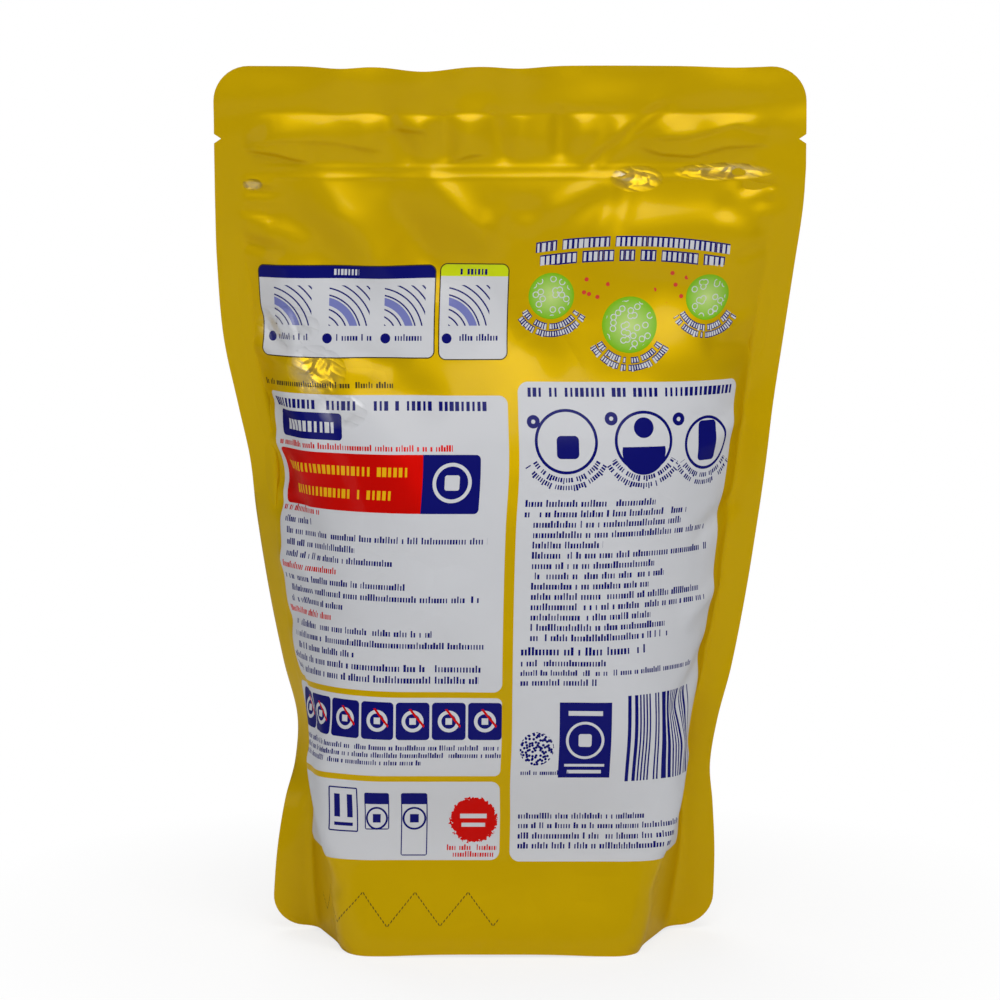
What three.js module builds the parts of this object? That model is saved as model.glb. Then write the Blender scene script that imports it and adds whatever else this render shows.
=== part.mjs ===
// A laundry pod bag: a filled stand-up pouch of printed film. Two panels are heat-sealed to each other along
// the sides and the top, and to a gusset that opens under the bag, so it stands on the lower edges of the panels.
// Lengths are in millimetres, with Z up. The back panel faces -Y, and the origin is the middle of the foot.
import * as THREE from "three";
import { LoftGeometry } from "three/addons/geometries/LoftGeometry.js";

// The film blank
const panelWidth = 200; // flat, from one side edge to the other
const pouchHeight = 300; // from the table to the top edge
const sealThickness = 0.6; // the two panels fused together
const sideSeal = 10;
const topSeal = 16;
const topCornerRadius = 12;
const footCornerRadius = 11;

// What is made in the header, each measured down from the top edge
const notchDrop = 24.5;
const notchDepth = 2.4;
const notchHeight = 3.2;
const zipDrop = 34;
const zipPitch = 3.4; // between the two ribs of the press-to-close strip
const zipRib = 0.4;
const headerWave = 1.8; // how far the sealed header sways out of flat
const pucker = 1.5; // how far the loose film between seal and zip stands off
const neckLean = 9; // how far the header leans over to the back panel's side
const neckFoot = 185; // height at which the lean starts

// Dips of the top edge, which is bent over a little at each: the place along the edge, a width and a depth
const topDips = [
  { place: -57, width: 8, depth: 0.8 },
  { place: -29, width: 12, depth: 1.7 },
  { place: 3, width: 9, depth: 0.8 },
  { place: 76, width: 12, depth: 0.5 },
];
const dipRise = 24; // over what height, below the top edge, the film bends over
const dipLean = 3; // how far it leans out, for each millimetre of dip

// The foot
const footSeal = 15; // width of the side seal at the table, where the gusset's corners are fused in
const footSealRise = 62; // height at which the side seal is back to its own width
const footSealTurn = 10; // how softly the film leaves the fused corner at the table
const sealTurn = 3; // and higher up
const cornerLift = 2; // how far the fused corners stand off the table
const skirt = 5; // depth of the seal between a panel and the gusset
const restWidth = 74; // the part of the gusset that the contents press on to the table
const restDepth = 26;

// The filled form. At each height, as a share of the way from the table to the zip: how far the left and right
// side edges are drawn in, the stretch of each panel, out from its middle, over which it turns, and by how many
// degrees the left side seal is bent back.
const stations = [
  { at: 0.0, left: 17.0, right: 29.5, flat: 41, turned: 50, bend: 0 },
  { at: 0.1, left: 18.8, right: 28.8, flat: 41, turned: 61, bend: 4 },
  { at: 0.17, left: 21.6, right: 29.6, flat: 39, turned: 72, bend: 24 },
  { at: 0.22, left: 25.0, right: 30.6, flat: 37, turned: 81, bend: 48 },
  { at: 0.28, left: 25.8, right: 28.2, flat: 34, turned: 88, bend: 62 },
  { at: 0.35, left: 21.4, right: 23.4, flat: 30, turned: 90, bend: 62 },
  { at: 0.45, left: 16.2, right: 18.4, flat: 24, turned: 90, bend: 55 },
  { at: 0.55, left: 12.2, right: 14.5, flat: 22, turned: 90, bend: 42 },
  { at: 0.62, left: 10.4, right: 12.1, flat: 32, turned: 90, bend: 26 },
  { at: 0.69, left: 6.8, right: 10.0, flat: 42, turned: 90, bend: 10 },
  { at: 0.78, left: 2.2, right: 6.6, flat: 54, turned: 90, bend: 0 },
  { at: 0.88, left: 0.3, right: 3.1, flat: 68, turned: 90, bend: 0 },
  { at: 0.95, left: 0.0, right: 0.8, flat: 70, turned: 90, bend: 0 },
  { at: 1.0, left: 0.0, right: 0.0, flat: 70, turned: 90, bend: 0 },
];

const foldedSlack = 1.6; // how much of each half panel's slack the neck's small folds take up

// Folds and dents in the film. A place is [share of half the panel's width, share of the way to the zip].
const backFolds = [
  { from: [-0.76, 0.95], to: [-0.58, 0.88], width: 8, height: -1.8 },
  { from: [-0.65, 0.97], to: [-0.42, 0.87], width: 9, height: 2.4 },
  { from: [-0.41, 0.97], to: [-0.24, 0.87], width: 9, height: -2.2 },
  { from: [-0.27, 0.98], to: [-0.09, 0.91], width: 6, height: 2.0 },
  { from: [-0.05, 0.96], to: [0.07, 0.94], width: 7, height: -2.0 },
  { from: [0.07, 0.94], to: [0.3, 0.98], width: 7, height: -1.6 },
  { from: [-0.12, 0.86], to: [0.1, 0.76], width: 9, height: -1.6 },
  { from: [0.38, 0.92], to: [0.8, 0.93], width: 15, height: 2.2 },
  { from: [0.56, 0.85], to: [0.8, 0.81], width: 10, height: -2.6 },
  { from: [0.4, 0.78], to: [0.76, 0.74], width: 8, height: 1.2 },
  { from: [-0.46, 0.72], to: [-0.32, 0.71], width: 8, height: -1.8 },
  { from: [-0.85, 0.9], to: [-0.84, 0.6], width: 7, height: -1.6 },
  { from: [-0.82, 0.72], to: [-0.68, 0.64], width: 7, height: 1.4 },
  { from: [-0.84, 0.6], to: [-0.7, 0.52], width: 7, height: -1.6 },
  { from: [-0.2, 0.45], to: [0.0, 0.37], width: 12, height: 1.4 },
  { from: [0.3, 0.4], to: [0.46, 0.3], width: 12, height: 1.2 },
  { from: [-0.64, 0.26], to: [-0.54, 0.02], width: 7, height: 2.2 },
  { from: [0.66, 0.26], to: [0.5, 0.02], width: 7, height: 2.2 },
  { from: [-0.3, 0], to: [0.3, 0], width: 18, height: 2.6 },
  { from: [-0.36, 0.15], to: [0.36, 0.15], width: 20, height: -3 },
];
const frontFolds = [
  { from: [-0.8, 0.95], to: [-0.3, 0.84], width: 9, height: 1.8 },
  { from: [-0.5, 0.97], to: [-0.14, 0.86], width: 8, height: -2.2 },
  { from: [0.06, 0.95], to: [0.3, 0.84], width: 9, height: 2.0 },
  { from: [0.34, 0.96], to: [0.72, 0.86], width: 8, height: -2.2 },
  { from: [0.85, 0.88], to: [0.84, 0.62], width: 7, height: -1.5 },
  { from: [-0.84, 0.84], to: [-0.85, 0.6], width: 7, height: -1.5 },
  { from: [-0.3, 0.62], to: [0.1, 0.54], width: 12, height: -1.5 },
  { from: [0.2, 0.42], to: [0.44, 0.34], width: 12, height: 1.4 },
  { from: [-0.64, 0.26], to: [-0.52, 0.02], width: 7, height: 2.2 },
  { from: [0.66, 0.26], to: [0.54, 0.02], width: 7, height: 2.2 },
  { from: [-0.3, 0], to: [0.3, 0], width: 18, height: 2.6 },
  { from: [-0.36, 0.15], to: [0.36, 0.15], width: 20, height: -3 },
];

// How finely the film is divided
const looseColumns = 32;
const rowStep = 6.6;
const headerRowStep = 2.8;
const sectionSteps = 240;

const halfWidth = panelWidth / 2;
const halfSeal = sealThickness / 2;
const zipHeight = pouchHeight - zipDrop;
const BACK = -1;
const FRONT = 1;

const { clamp, lerp, smoothstep } = THREE.MathUtils;

// A bump of height 1 and about the given width, at the distance from its middle
function bump(distance, width) {
  return Math.exp(-((distance / width) ** 2));
}

// The stations' value at a share of the way to the zip, on a Catmull-Rom curve through them
function station(name, share) {
  const last = stations.length - 1;
  const at = clamp(share, 0, 1);
  const next = clamp(stations.findIndex((s) => s.at >= at), 1, last);
  const [p0, p1, p2, p3] = [next - 2, next - 1, next, next + 1].map((i) => stations[clamp(i, 0, last)]);
  const step = p2.at - p1.at;
  const t = (at - p1.at) / step;
  const inTangent = ((p2[name] - p0[name]) / (p2.at - p0.at)) * step;
  const outTangent = ((p3[name] - p1[name]) / (p3.at - p1.at)) * step;
  const t2 = t * t;
  const t3 = t2 * t;
  return (
    (2 * t3 - 3 * t2 + 1) * p1[name] +
    (t3 - 2 * t2 + t) * inTangent +
    (3 * t2 - 2 * t3) * p2[name] +
    (t3 - t2) * outTangent
  );
}

// Half the blank's width at a height: its corners are rounded, and a tear notch nicks each side edge
function blankHalfWidth(height) {
  const above = Math.max(height - (pouchHeight - topCornerRadius), 0);
  const below = Math.max(footCornerRadius - height, 0);
  const topCorner = topCornerRadius - Math.sqrt(Math.max(topCornerRadius ** 2 - above ** 2, 0));
  const footCorner = footCornerRadius - Math.sqrt(Math.max(footCornerRadius ** 2 - below ** 2, 0));
  const fromNotch = Math.abs(height - (pouchHeight - notchDrop)) / (notchHeight / 2);
  return halfWidth - topCorner - footCorner - notchDepth * Math.max(1 - fromNotch, 0);
}

// How wide the side seal is at a height, and over what length the film turns as it leaves the seal
function sealAt(height) {
  const near = clamp(1 - height / footSealRise, 0, 1) ** 1.6;
  return { width: lerp(sideSeal, footSeal, near), turn: lerp(sealTurn, footSealTurn, near) };
}

// The film's path across the bag at one height. A panel keeps its length: where the side edges are drawn in,
// it turns away from flat by as much as takes up the slack, and so the bag fills out.
function sectionAt(height) {
  const share = height / zipHeight;
  const left = halfWidth - station("left", share);
  const right = halfWidth - station("right", share);
  const flat = Math.max(station("flat", share), 0);
  const seal = sealAt(height);
  const seam = halfWidth - seal.width;
  const turned = Math.min(station("turned", share), seam);
  const step = halfWidth / sectionSteps;
  const trace = (mostTurn) => {
    const path = [{ across: 0, inward: 0 }];
    for (let i = 0; i < sectionSteps; i++) {
      const along = (i + 0.5) * step;
      const rise = clamp((along - flat) / (turned - flat), 0, 1);
      const leave = 1 - smoothstep(along, seam - seal.turn / 2, seam + seal.turn / 2);
      const angle = mostTurn * rise * leave;
      const before = path[i];
      path.push({ across: before.across + Math.cos(angle) * step, inward: before.inward + Math.sin(angle) * step });
    }
    return path;
  };
  const bend = THREE.MathUtils.degToRad(station("bend", share));
  const lostWidth = seal.width * (1 - Math.cos(bend));
  const halfChord = (left + right + lostWidth) / 2;
  const slack = Math.max(halfWidth - halfChord, 0);
  const folded = foldedSlack * smoothstep(share, 0.55, 0.85) + 0.01;
  const kept = halfWidth - slack ** 2 / (slack + folded);
  let low = 0;
  let high = 0.62 * Math.PI;
  for (let i = 0; i < 40; i++) {
    const middle = (low + high) / 2;
    if (trace(middle)[sectionSteps].across > kept) low = middle;
    else high = middle;
  }
  const path = trace(low).map(({ across, inward }) => ({ across: (across * halfChord) / kept, inward }));
  const depth = path[sectionSteps].inward;
  return { path, depth, step, seam, bend, centre: (right - left - lostWidth) / 2 };
}

// A point and its tangent on a section, at a distance along the film from the panel's middle
function onSection(section, along) {
  const at = Math.min(Math.abs(along) / section.step, sectionSteps - 1e-6);
  const i = Math.floor(at);
  const [a, b] = [section.path[i], section.path[i + 1]];
  const side = Math.sign(along);
  return {
    x: section.centre + side * lerp(a.across, b.across, at - i),
    depth: section.depth - lerp(a.inward, b.inward, at - i),
    slopeX: (b.across - a.across) / section.step,
    slopeIn: (side * (b.inward - a.inward)) / section.step,
  };
}

// How far a fold lifts the film at a place, given in millimetres on the flat panel
function foldLift(fold, along, height) {
  const from = new THREE.Vector2(fold.from[0] * halfWidth, fold.from[1] * zipHeight);
  const to = new THREE.Vector2(fold.to[0] * halfWidth, fold.to[1] * zipHeight);
  const line = to.clone().sub(from);
  const place = new THREE.Vector2(along, height).sub(from);
  const t = clamp(place.dot(line) / line.lengthSq(), 0, 1);
  const distance = place.distanceTo(line.multiplyScalar(t));
  return fold.height * bump(distance, fold.width);
}

// The loose film of the header: the ribs of the zip, and puckers between the zip and the top seal
function headerLift(side, along, height) {
  const loose = smoothstep(halfWidth - sideSeal - Math.abs(along), 0, 12);
  const ribs = bump(height - zipHeight, 1.3) + bump(height - zipHeight + zipPitch, 1.3);
  const above = height - zipHeight - 3;
  const band = pouchHeight - topSeal - zipHeight - 3;
  const inBand = Math.max(Math.sin(Math.PI * clamp(above / band, 0, 1)), 0);
  const waves = 1.1 + Math.sin(along / 5.2 + side) * 0.5 + Math.sin(along / 8.3 + 2 * side) * 0.6;
  return (zipRib * ribs + pucker * inBand * waves) * loose;
}

// How far the top edge is lowered along a dip, fading out below it
function topDip(along, height) {
  const depth = topDips.reduce((sum, dip) => sum + dip.depth * bump(along - dip.place, dip.width), 0);
  return depth * smoothstep(height, pouchHeight - dipRise, pouchHeight);
}

// How far the neck leans, and how far the fused header, and the side seals with it, sway out of flat
function sway(along, height) {
  const inHeader = smoothstep(height, zipHeight - 30, pouchHeight - topSeal);
  const header = Math.sin(along / 21 + 0.6) + 0.5 * Math.sin(along / 11 - 1);
  const inSeal = smoothstep(Math.abs(along), halfWidth - sideSeal, halfWidth) * smoothstep(height, 40, 90);
  const seals = 1.2 * inSeal * Math.sin(height / 17 + Math.sign(along)) * (1 - inHeader);
  const lean = neckLean * smoothstep(height, neckFoot, zipHeight) + dipLean * topDip(along, height);
  return headerWave * inHeader * header + seals - lean;
}

// The point of a panel's outer face that lies at a place on the flat film
function filmPoint(side, section, along, height) {
  const on = onSection(section, along);
  const loose = smoothstep(on.depth, 0, 3);
  const folds = side === BACK ? backFolds : frontFolds;
  let lift = headerLift(side, along, height);
  for (const fold of folds) lift += foldLift(fold, along, height) * loose;
  const out = halfSeal + on.depth;
  const farOut = clamp((Math.abs(along) - restWidth / 2) / (halfWidth - restWidth / 2), 0, 1) ** 2;
  const raised = cornerLift * farOut * clamp(1 - height / footSealRise, 0, 1) ** 2;
  const onLeftSeal = Math.max(-along - section.seam, 0);
  return new THREE.Vector3(
    on.x + on.slopeIn * lift + onLeftSeal * (1 - Math.cos(section.bend)),
    side * (out + on.slopeX * lift) + sway(along, height) + onLeftSeal * Math.sin(section.bend),
    height + raised - topDip(along, height)
  );
}

// Where a panel's columns stand at a height: even across the loose film, then closer at the seam, out to the
// edge of the blank. They keep to the seam as the seal widens, and close up at the rounded corners.
function columnPlaces(height) {
  const seal = sealAt(height);
  const edge = blankHalfWidth(height);
  const outer = Math.min(halfWidth - seal.width + seal.turn / 2, edge - 2);
  const inner = Math.min(halfWidth - seal.width - seal.turn / 2, edge - 4);
  const loose = Array.from({ length: looseColumns + 1 }, (_, i) => lerp(-inner, inner, i / looseColumns));
  const beyond = [(inner + outer) / 2, outer, (outer + edge) / 2, edge];
  return [...beyond.map((x) => -x).reverse(), ...loose, ...beyond];
}

// Heights where the mesh has a row: even stretches between the lines that something is made at
function rowHeights() {
  const stretch = (from, to, step) => {
    const count = Math.max(Math.round((to - from) / step), 1);
    return Array.from({ length: count }, (_, i) => lerp(from, to, i / count));
  };
  const arc = [1, 0.96, 0.85, 0.68, 0.45, 0.2];
  const notch = pouchHeight - notchDrop;
  const topSealFoot = pouchHeight - topSeal;
  return [
    ...arc.map((share) => footCornerRadius * (1 - share)),
    ...stretch(footCornerRadius, zipHeight - 60, rowStep),
    ...stretch(zipHeight - 60, zipHeight - 10, rowStep - 1.6),
    ...stretch(zipHeight - 10, zipHeight + 3, 1.7),
    ...stretch(zipHeight + 3, notch - notchHeight / 2, headerRowStep),
    ...stretch(notch - notchHeight / 2, notch + notchHeight / 2, notchHeight / 2),
    ...stretch(notch + notchHeight / 2, topSealFoot, headerRowStep),
    ...stretch(topSealFoot, pouchHeight - topCornerRadius, headerRowStep + 1),
    ...arc.toReversed().map((share) => pouchHeight - topCornerRadius * (1 - share)),
  ];
}

// The gusset in one column, from the back panel's lower edge to the front one's: up the inside of the seal, down
// to the part that rests on the table, and the same again. Where the corners are fused it is only a cut edge.
function gussetStrip(back, front) {
  const depth = front.y - back.y;
  const open = smoothstep(depth, 3 * sealThickness, 24);
  const rested = 1 - smoothstep(Math.abs(back.x), restWidth / 2, restWidth / 2 + 22);
  const restInset = Math.max((depth - restDepth) / 2, (depth * 2) / 7);
  const insets = [
    lerp(depth / 7, sealThickness, open),
    lerp((depth * 2) / 7, sealThickness + 1, open),
    lerp((depth * 3) / 7, restInset, open),
  ];
  const heights = [0, skirt * open, skirt * open * 0.6 * (1 - rested)];
  const point = (edge, side, i) => new THREE.Vector3(edge.x, edge.y + side * insets[i], edge.z + heights[i]);
  return [...[0, 1, 2].map((i) => point(back, 1, i)), ...[2, 1, 0].map((i) => point(front, -1, i))];
}

// The whole bag is one closed skin, lofted from the left edge to the right. Each section goes up the front
// panel, down the back panel and along the gusset between them.
function pouchGeometry() {
  const rows = rowHeights().map((height) => {
    const section = sectionAt(height);
    const wall = (side) => columnPlaces(height).map((place) => filmPoint(side, section, place, height));
    return { front: wall(FRONT), back: wall(BACK) };
  });
  const foot = rows[0];
  const rings = foot.front.map((_, column) => [
    ...rows.map((row) => row.front[column]),
    ...rows.toReversed().map((row) => row.back[column]),
    ...gussetStrip(foot.back[column], foot.front[column]),
  ]);
  const skin = new LoftGeometry(rings, { capStart: true, capEnd: true });
  skin.computeBoundingBox();
  const middle = skin.boundingBox.getCenter(new THREE.Vector3());
  skin.translate(-middle.x, -middle.y, -skin.boundingBox.min.z);
  return skin;
}

// Printed polyester and polyethylene laminate: saturated yellow, satin, with a thin gloss
const film = new THREE.MeshStandardMaterial({ color: 0xd6b400, roughness: 0.38, metalness: 0.1 });

const pouch = new THREE.Mesh(pouchGeometry(), film);
pouch.name = "pouch";

const bag = new THREE.Group();
bag.add(pouch);
export default bag;
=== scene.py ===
# A laundry pod bag: a filled stand-up pouch of printed film, heat-sealed all round, standing on its foot.
# The camera sees its back panel, which faces -Y. Lengths are in metres, +Z is up.
import math

import bpy
import numpy as np
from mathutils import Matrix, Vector


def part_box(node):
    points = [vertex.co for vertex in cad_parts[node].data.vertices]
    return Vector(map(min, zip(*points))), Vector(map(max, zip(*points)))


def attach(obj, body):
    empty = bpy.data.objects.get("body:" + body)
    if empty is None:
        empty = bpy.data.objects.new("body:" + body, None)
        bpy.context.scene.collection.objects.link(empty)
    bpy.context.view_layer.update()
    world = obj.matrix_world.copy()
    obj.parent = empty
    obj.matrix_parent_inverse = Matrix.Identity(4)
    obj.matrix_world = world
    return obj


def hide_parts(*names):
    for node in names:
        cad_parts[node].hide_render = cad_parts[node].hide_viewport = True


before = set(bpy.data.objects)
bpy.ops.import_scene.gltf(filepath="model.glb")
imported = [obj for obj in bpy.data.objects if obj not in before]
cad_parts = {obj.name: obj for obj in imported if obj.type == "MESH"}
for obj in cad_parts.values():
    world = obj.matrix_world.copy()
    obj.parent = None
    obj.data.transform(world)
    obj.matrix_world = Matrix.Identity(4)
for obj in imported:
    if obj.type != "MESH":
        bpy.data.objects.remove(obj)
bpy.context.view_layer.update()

# The film panels
# The back and front are cut from one web of polyester and polyethylene laminate, and heat-sealed to each
# other along the sides and the top. Each starts as a flat grid, cut to the blank's outline, and is bent to
# the form that the filling gives it.
MM = 0.001
PANEL_WIDTH = 200 * MM
POUCH_HEIGHT = 300 * MM
SEAL_THICKNESS = 0.6 * MM
SIDE_SEAL = 10 * MM
TOP_SEAL = 16 * MM
TOP_CORNER = 12 * MM
FOOT_CORNER = 11 * MM
NOTCH_DROP, NOTCH_DEPTH, NOTCH_HEIGHT = 24.5 * MM, 2.4 * MM, 3.2 * MM
ZIP_DROP, ZIP_PITCH = 34 * MM, 3.4 * MM
FOOT_SEAL, FOOT_SEAL_RISE, FOOT_SEAL_TURN = 15 * MM, 62 * MM, 10 * MM
SEAL_TURN = 3 * MM
CORNER_LIFT = 2 * MM
SKIRT = 5 * MM
REST_WIDTH = 74 * MM
FOLDED_SLACK = 1.6 * MM
HALF = PANEL_WIDTH / 2
ZIP_HEIGHT = POUCH_HEIGHT - ZIP_DROP
BACK, FRONT = -1, 1

# At each share of the way from the table to the zip: how far the left and right edges are drawn in, the
# stretch of each panel, out from its middle, over which it turns, all in millimetres, and by how many
# degrees the left side seal is bent back.
STATIONS = np.array([
    (0.00, 17.0, 29.5, 41, 50, 0),
    (0.10, 18.8, 28.8, 41, 61, 4),
    (0.17, 21.6, 29.6, 39, 72, 24),
    (0.22, 25.0, 30.6, 37, 81, 48),
    (0.28, 25.8, 28.2, 34, 88, 62),
    (0.35, 21.4, 23.4, 30, 90, 62),
    (0.45, 16.2, 18.4, 24, 90, 55),
    (0.55, 12.2, 14.5, 22, 90, 42),
    (0.62, 10.4, 12.1, 32, 90, 26),
    (0.69, 6.8, 10.0, 42, 90, 10),
    (0.78, 2.2, 6.6, 54, 90, 0),
    (0.88, 0.3, 3.1, 68, 90, 0),
    (0.95, 0.0, 0.8, 70, 90, 0),
    (1.00, 0.0, 0.0, 70, 90, 0),
])


def smoothstep(x, low, high):
    t = np.clip((x - low) / (high - low), 0, 1)
    return t * t * (3 - 2 * t)


def station(column, share):
    """The stations' value at each share, on a Catmull-Rom curve through them."""
    at, value = STATIONS[:, 0], STATIONS[:, column]
    share = np.clip(share, 0, 1)
    b = np.clip(np.searchsorted(at, share), 1, len(at) - 1)
    a = b - 1
    before, after = np.maximum(a - 1, 0), np.minimum(b + 1, len(at) - 1)
    step = at[b] - at[a]
    t = (share - at[a]) / step
    slope_a = (value[b] - value[before]) / (at[b] - at[before]) * step
    slope_b = (value[after] - value[a]) / (at[after] - at[a]) * step
    return (
        (2 * t**3 - 3 * t**2 + 1) * value[a]
        + (t**3 - 2 * t**2 + t) * slope_a
        + (3 * t**2 - 2 * t**3) * value[b]
        + (t**3 - t**2) * slope_b
    )


def blank_half_width(height):
    """Half the width of the cut film, with its rounded corners and its tear notches."""
    above = np.maximum(height - (POUCH_HEIGHT - TOP_CORNER), 0)
    below = np.maximum(FOOT_CORNER - height, 0)
    top_corner = TOP_CORNER - np.sqrt(np.maximum(TOP_CORNER**2 - above**2, 0))
    foot_corner = FOOT_CORNER - np.sqrt(np.maximum(FOOT_CORNER**2 - below**2, 0))
    from_notch = np.abs(height - (POUCH_HEIGHT - NOTCH_DROP)) / (NOTCH_HEIGHT / 2)
    return HALF - top_corner - foot_corner - NOTCH_DEPTH * np.maximum(1 - from_notch, 0)


def side_seal(height):
    """The side seal's width at a height, and the length over which the film turns as it leaves the seal."""
    near = np.clip(1 - height / FOOT_SEAL_RISE, 0, 1) ** 1.6
    width = SIDE_SEAL + (FOOT_SEAL - SIDE_SEAL) * near
    turn = SEAL_TURN + (FOOT_SEAL_TURN - SEAL_TURN) * near
    return width, turn


def filled_section(height):
    """The film's path across the bag at each height. It keeps its length, so what its edges are drawn in by
    is taken up by turning away from flat, and near the neck by small folds. Gives the distances across, the
    depth, the shift of the middle, where the seam is, and how far the left seal is bent."""
    steps = 240
    least_fold, steepest = 0.01 * MM, 0.62 * math.pi
    share = height / ZIP_HEIGHT
    left, right = HALF - station(1, share) * MM, HALF - station(2, share) * MM
    flat = np.maximum(station(3, share), 0) * MM
    width, turn = side_seal(height)
    seam = HALF - width
    turned = np.minimum(station(4, share) * MM, seam)
    along = ((np.arange(steps) + 0.5) * HALF / steps)[None, :]
    rise = np.clip((along - flat[:, None]) / (turned - flat)[:, None], 0, 1)
    rise *= 1 - smoothstep(along, (seam - turn / 2)[:, None], (seam + turn / 2)[:, None])
    bend = np.radians(station(5, share))
    lost_width = width * (1 - np.cos(bend))
    reach = (left + right + lost_width) / 2
    slack = np.maximum(HALF - reach, 0)
    folded = FOLDED_SLACK * smoothstep(share, 0.55, 0.85) + least_fold
    kept = HALF - slack**2 / (slack + folded)
    low, high = np.zeros_like(height), np.full_like(height, steepest)
    for _ in range(40):
        middle = (low + high) / 2
        wide = np.cos(middle[:, None] * rise).sum(1) * HALF / steps > kept
        low, high = np.where(wide, middle, low), np.where(wide, high, middle)
    angle = low[:, None] * rise
    start = np.zeros((len(height), 1))
    across = np.hstack([start, np.cumsum(np.cos(angle), 1)]) * HALF / steps * (reach / kept)[:, None]
    inward = np.hstack([start, np.cumsum(np.sin(angle), 1)]) * HALF / steps
    return across, inward[:, -1:] - inward, (right - left - lost_width) / 2, seam, bend


# Folds: each runs between two places, (share of half the panel's width, share of the way to the zip), and
# has a width and a height in millimetres.
BACK_FOLDS = [
    ((-0.76, 0.95), (-0.58, 0.88), 8, -1.8),
    ((-0.65, 0.97), (-0.42, 0.87), 9, 2.4),
    ((-0.41, 0.97), (-0.24, 0.87), 9, -2.2),
    ((-0.27, 0.98), (-0.09, 0.91), 6, 2.0),
    ((-0.05, 0.96), (0.07, 0.94), 7, -2.0),
    ((0.07, 0.94), (0.30, 0.98), 7, -1.6),
    ((-0.12, 0.86), (0.10, 0.76), 9, -1.6),
    ((0.38, 0.92), (0.80, 0.93), 15, 2.2),
    ((0.56, 0.85), (0.80, 0.81), 10, -2.6),
    ((0.40, 0.78), (0.76, 0.74), 8, 1.2),
    ((-0.46, 0.72), (-0.32, 0.71), 8, -1.8),
    ((-0.85, 0.90), (-0.84, 0.60), 7, -1.6),
    ((-0.82, 0.72), (-0.68, 0.64), 7, 1.4),
    ((-0.84, 0.60), (-0.70, 0.52), 7, -1.6),
    ((-0.20, 0.45), (0.00, 0.37), 12, 1.4),
    ((0.30, 0.40), (0.46, 0.30), 12, 1.2),
    ((-0.64, 0.26), (-0.54, 0.02), 7, 2.2),
    ((0.66, 0.26), (0.50, 0.02), 7, 2.2),
    ((-0.30, 0.00), (0.30, 0.00), 18, 2.6),
    ((-0.36, 0.15), (0.36, 0.15), 20, -3.0),
]
FRONT_FOLDS = [
    ((-0.80, 0.95), (-0.30, 0.84), 9, 1.8),
    ((-0.50, 0.97), (-0.14, 0.86), 8, -2.2),
    ((0.06, 0.95), (0.30, 0.84), 9, 2.0),
    ((0.34, 0.96), (0.72, 0.86), 8, -2.2),
    ((0.85, 0.88), (0.84, 0.62), 7, -1.5),
    ((-0.84, 0.84), (-0.85, 0.60), 7, -1.5),
    ((-0.30, 0.62), (0.10, 0.54), 12, -1.5),
    ((0.20, 0.42), (0.44, 0.34), 12, 1.4),
    ((-0.64, 0.26), (-0.52, 0.02), 7, 2.2),
    ((0.66, 0.26), (0.54, 0.02), 7, 2.2),
    ((-0.30, 0.00), (0.30, 0.00), 18, 2.6),
    ((-0.36, 0.15), (0.36, 0.15), 20, -3.0),
]

# Finer creases of the back panel, in the flat film's millimetres: from a place, to a place, width, height.
# A broad ridge hangs under the press-to-close strip, the next ones fan out of the strip, and the short ones
# stand along the side seals.
CREASES = [
    ((-56, 253), (12, 255), 13, 3.2),
    ((-88, 248), (-70, 241), 4, 1.3),
    ((-64, 259), (-44, 236), 6, 1.2),
    ((-42, 259), (-27, 236), 6, -1.2),
    ((-26, 262), (-9, 246), 3.6, 1.2),
    ((-2, 250), (7, 247), 3.6, 1.0),
    ((7, 247), (31, 260), 4, 1.4),
    ((36, 262), (30, 243), 3.2, 0.7),
    ((41, 260), (38, 246), 3.0, -0.5),
    ((77, 263), (85, 256), 4, -1.5),
    ((74, 252), (86, 246), 4, -1.2),
    ((25, 268), (48, 288), 1.7, 0.55),
    ((28, 267), (51, 286), 1.7, -0.5),
    ((31, 267), (54, 285), 1.7, 0.45),
    ((-41, 283), (-34, 271), 3.4, -1.1),
    ((-22, 284), (-21, 270), 2.6, -1.0),
    ((-6, 284), (-2, 270), 2.6, -0.9),
    ((17, 284), (17, 271), 2.6, -0.9),
    ((-88.5, 261), (-82, 260.5), 1.6, 0.7),
    ((-88.5, 258), (-80, 257), 1.6, -0.7),
    ((-88.5, 255), (-79, 255.5), 1.6, 0.7),
    ((-88.5, 251), (-80, 249), 2.2, -1.0),
    ((-88.5, 243.5), (-80, 242), 2.0, 0.9),
    ((-88.5, 240.5), (-78, 238), 1.8, -0.8),
    ((-88.5, 236), (-77, 232), 2.2, 0.8),
    ((88.5, 260), (80, 259), 1.6, -0.7),
    ((88.5, 257), (81, 256), 1.6, 0.6),
    ((88.5, 239), (80, 236), 2.4, -0.9),
    ((88, 216), (78, 210), 3, 1.0),
    ((88, 205), (74, 206), 4, -1.4),
    ((-86, 214), (-78, 205), 3.2, -1.2),
    ((-88, 204), (-66, 197), 3.2, 1.3),
    ((-50, 203), (-38, 199.5), 4.5, -1.6),
    ((-88, 186), (-76, 178), 3.4, -1.4),
    ((-89, 172), (-74, 164), 3.0, 1.2),
    ((-88, 150), (-76, 152), 3.4, -1.2),
    ((-88, 131), (-72, 128), 3.4, 1.1),
    ((-86, 110), (-70, 118), 4, -1.4),
    ((86, 180), (72, 172), 3.6, 1.0),
    ((87, 150), (74, 142), 4, -1.3),
    ((86, 122), (70, 114), 4, 1.2),
    ((85, 100), (66, 84), 4.5, -1.5),
    ((-84, 92), (-66, 70), 4.5, -1.6),
    ((-78, 62), (-60, 36), 4.0, 1.3),
    ((76, 64), (60, 38), 4.0, 1.3),
    ((-74, 40), (-56, 22), 3.4, -1.0),
    ((70, 40), (56, 20), 3.4, -1.0),
]

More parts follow.
